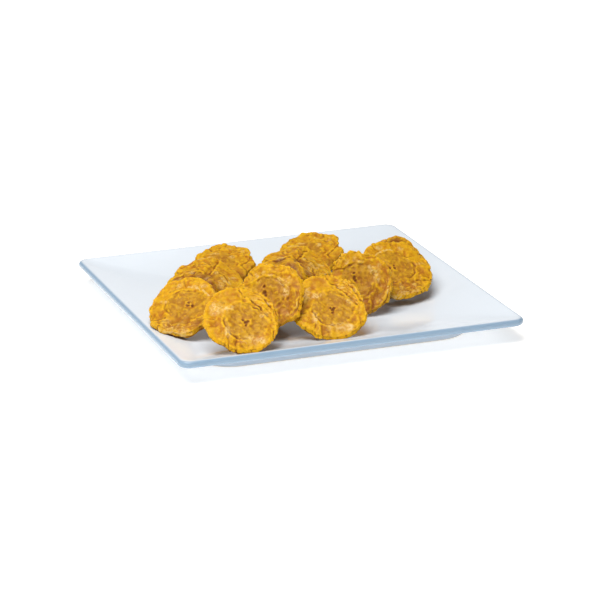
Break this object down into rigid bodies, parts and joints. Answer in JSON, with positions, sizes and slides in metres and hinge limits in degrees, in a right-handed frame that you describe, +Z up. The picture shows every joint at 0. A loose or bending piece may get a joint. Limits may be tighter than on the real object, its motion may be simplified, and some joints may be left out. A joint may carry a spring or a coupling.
{
  "type": "tostones on a square plate",
  "caption": "Twice-fried flattened green plantain slices, piled in two heaps and a pair on a shallow square white porcelain plate with a foot ring.",
  "frame": {"origin": "middle of the plate's footprint, on the surface that its foot ring rests on", "axes": "+Z up; -Y towards the front side of the plate, from which the heaps are seen; +X to the right"},
  "size_m": [0.3, 0.3, 0.0697],
  "materials": {
    "porcelain": "gloss glaze",
    "fried_plantain": "oily, uneven"
  },
  "bodies": {
    "root": {"plate": "porcelain", "tostone_left_under": "fried_plantain", "tostone_left_side": "fried_plantain", "tostone_left_folded": "fried_plantain", "tostone_left_back": "fried_plantain", "tostone_left_leaning": "fried_plantain", "tostone_left_front": "fried_plantain", "tostone_middle_under": "fried_plantain", "tostone_middle_side": "fried_plantain", "tostone_middle_folded": "fried_plantain", "tostone_middle_back": "fried_plantain", "tostone_middle_leaning": "fried_plantain", "tostone_middle_front": "fried_plantain", "tostone_right_under": "fried_plantain", "tostone_right_side": "fried_plantain"}
  },
  "joints": []
}
